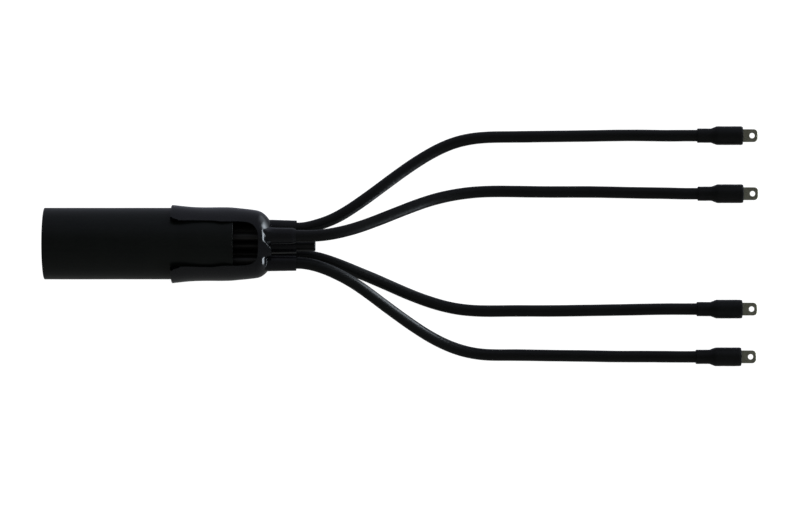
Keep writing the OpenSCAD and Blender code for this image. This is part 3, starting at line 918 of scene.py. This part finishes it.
def sheath_shape(X, R, A):
    out = R > 34
    w = 0.03 * np.sin(2 * A + X * 0.03) + 0.02 * np.sin(5 * A - X * 0.05) + 0.015 * np.sin(X * 0.11)
    # the cut edge inside the boot is sharper where the window's lower half shows it
    k = 0.1 + 0.9 * np.clip((86 - np.degrees(A) % 360) / 24, 0, 1)
    near = (X > 53.6) & (R > 35.1)
    X, R = np.where(near, 53.9 + (X - 53.9) * k, X), np.where(near, 35.4 + (R - 35.4) * k, R)
    R = np.where(out, R + w + swell(X, np.cos(A)), R)
    return X, np.minimum(R, 35.62 / np.maximum(np.sin(A), 0.01))


sheath = lathe("outer_sheath_skin", dense(prof, 3.0), (0, AXIS), [M_SHEATH], 160, sheath_shape)
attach(sheath, "root"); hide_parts("outer_sheath")
bed = nodes["bedding"]
bed.data.materials.clear()
bed.data.materials.append(M_BED)

# ---------------------------------------------------------------- floor, light
def glow(name, colour, strength, rough_colour):
    """A pale surface lit a little from within, as on a light table."""
    m = bpy.data.materials.new(name)
    m.use_nodes = True
    b = m.node_tree.nodes["Principled BSDF"]
    b.inputs["Base Color"].default_value = (*rough_colour, 1)
    b.inputs["Roughness"].default_value = 1.0
    b.inputs["Specular IOR Level"].default_value = 0.0
    b.inputs["Emission Color"].default_value = (*colour, 1)
    b.inputs["Emission Strength"].default_value = strength
    return m


def stage_mesh(name, verts, faces, mat):
    me = bpy.data.meshes.new(name)
    me.from_pydata(verts, [], faces)
    me.materials.append(mat)
    o = bpy.data.objects.new(name, me)
    scene.collection.objects.link(o)
    o.visible_glossy = False
    return o


L = 40.0
floor = stage_mesh("floor", [(-L, -L, -0.0004), (L, -L, -0.0004), (L, L, -0.0004), (-L, L, -0.0004)],
                   [(0, 1, 2, 3)], glow("floor_white", (1, 1, 1), 0.96, (0.35, 0.35, 0.35)))
ring = [(39 * math.cos(k * math.pi / 24), 39 * math.sin(k * math.pi / 24)) for k in range(48)]
wall = stage_mesh("backdrop", [(x, y, z) for z in (-0.1, 30.0) for x, y in ring],
                  [(k, (k + 1) % 48, 48 + (k + 1) % 48, 48 + k) for k in range(48)],
                  glow("backdrop_white", (1, 1, 1), 0.92, (0.0, 0.0, 0.0)))
wall.visible_diffuse = False
wall.visible_shadow = False


def studio():
    """A dim room that the gloss shows, with a bright wide panel low beyond the lugs."""
    w = bpy.data.worlds.new("studio")
    scene.world = w
    w.use_nodes = True
    t = w.node_tree
    t.nodes.clear()
    out = t.nodes.new("ShaderNodeOutputWorld")
    bg = t.nodes.new("ShaderNodeBackground")
    t.links.new(bg.outputs[0], out.inputs[0])
    co = t.nodes.new("ShaderNodeTexCoord")
    sep = t.nodes.new("ShaderNodeSeparateXYZ")
    t.links.new(co.outputs["Generated"], sep.inputs[0])
    X, Y, Z = sep.outputs

    def op(kind, a, b=0.0, c=None):
        n = t.nodes.new("ShaderNodeMath")
        n.operation = kind
        for i, v in enumerate((a, b) if c is None else (a, b, c)):
            if isinstance(v, bpy.types.NodeSocket):
                t.links.new(v, n.inputs[i])
            else:
                n.inputs[i].default_value = v
        return n.outputs[0]

    def step(v, lo, hi):
        n = t.nodes.new("ShaderNodeMapRange")
        n.interpolation_type = "SMOOTHSTEP"
        t.links.new(v, n.inputs["Value"])
        for k, q in (("From Min", lo), ("From Max", hi), ("To Min", 0.0), ("To Max", 1.0)):
            n.inputs[k].default_value = q
        return n.outputs[0]
    up = op("MAXIMUM", Z, 0.0)
    side = op("DIVIDE", Y, op("MAXIMUM", op("SQRT", op("ADD", op("ADD", op("MULTIPLY", X, X), op("MULTIPLY", Y, Y)),
                                                      op("MULTIPLY", up, up))), 0.001))
    base = op("ADD", 0.092, op("MULTIPLY", step(side, 0.3, 1.0), 0.165))
    base = op("ADD", base, op("MULTIPLY", step(op("MULTIPLY", side, -1.0), 0.05, 0.95), 0.075))
    flat = op("SQRT", op("ADD", op("MULTIPLY", X, X), op("MULTIPLY", Y, Y)))
    az = op("DIVIDE", X, op("MAXIMUM", flat, 0.001))
    lean = op("DIVIDE", Y, op("MAXIMUM", flat, 0.001))
    back = op("MULTIPLY", lean, -1.0)
    # its end towards -Y is cut on a slant, and its end towards +Y is dimmer
    slant = op("ADD", 0.04, op("MULTIPLY", op("MAXIMUM", op("ADD", Z, 0.12), 0.0), 0.35))
    narrow = op("ADD", op("MULTIPLY", step(back, 0.1, 0.4), slant), op("MULTIPLY", step(lean, 0.1, 0.4), 0.02))
    wide = step(op("SUBTRACT", az, narrow), 0.64, 0.80)
    wide = op("MULTIPLY", wide, op("SUBTRACT", 1.0, op("MULTIPLY", step(lean, 0.25, 0.50), 0.28)))
    level = op("MULTIPLY", step(Z, -0.62, -0.10), op("SUBTRACT", 1.0, step(Z, 0.12, 0.30)))
    panel = op("MULTIPLY", op("MULTIPLY", wide, level), 16.0)
    # and a soft dim light beyond that end
    skirt = op("MULTIPLY", op("MULTIPLY", step(az, 0.34, 0.56), step(Z, -0.80, -0.55)), op("SUBTRACT", 1.0, step(Z, -0.35, 0.05)))
    skirt = op("MULTIPLY", skirt, step(lean, 0.25, 0.50))
    panel = op("ADD", panel, op("MULTIPLY", skirt, 0.9))
    tint = t.nodes.new("ShaderNodeMix")
    tint.data_type = "RGBA"
    t.links.new(step(side, 0.1, 0.9), tint.inputs["Factor"])
    tint.inputs[6].default_value = (0.97, 1.0, 0.98, 1)
    tint.inputs[7].default_value = (0.90, 0.95, 1.14, 1)
    t.links.new(tint.outputs[2], bg.inputs["Color"])
    t.links.new(base, bg.inputs["Strength"])
    bg2 = t.nodes.new("ShaderNodeBackground")
    bg2.inputs["Color"].default_value = (0.88, 0.97, 1.06, 1)
    t.links.new(panel, bg2.inputs["Strength"])
    add = t.nodes.new("ShaderNodeAddShader")
    t.links.new(bg.outputs[0], add.inputs[0])
    t.links.new(bg2.outputs[0], add.inputs[1])
    t.links.new(add.outputs[0], out.inputs[0])


studio()


def soft_box(name, pos, target, size_x, size_y, radiance, colour=(1, 1, 1), gloss=False):
    d = bpy.data.lights.new(name, "AREA")
    d.shape = "RECTANGLE"
    d.size, d.size_y = size_x, size_y
    d.energy = radiance * size_x * size_y * math.pi
    d.color = colour
    o = bpy.data.objects.new(name, d)
    o.location = pos
    o.rotation_euler = (Vector(target) - Vector(pos)).to_track_quat("-Z", "Y").to_euler()
    o.visible_camera = False
    o.visible_glossy = gloss
    scene.collection.objects.link(o)
    return o


soft_box("overhead", (0.2, 0.9, 2.9), (0.2, 0, 0), 4.0, 3.0, 1.25)
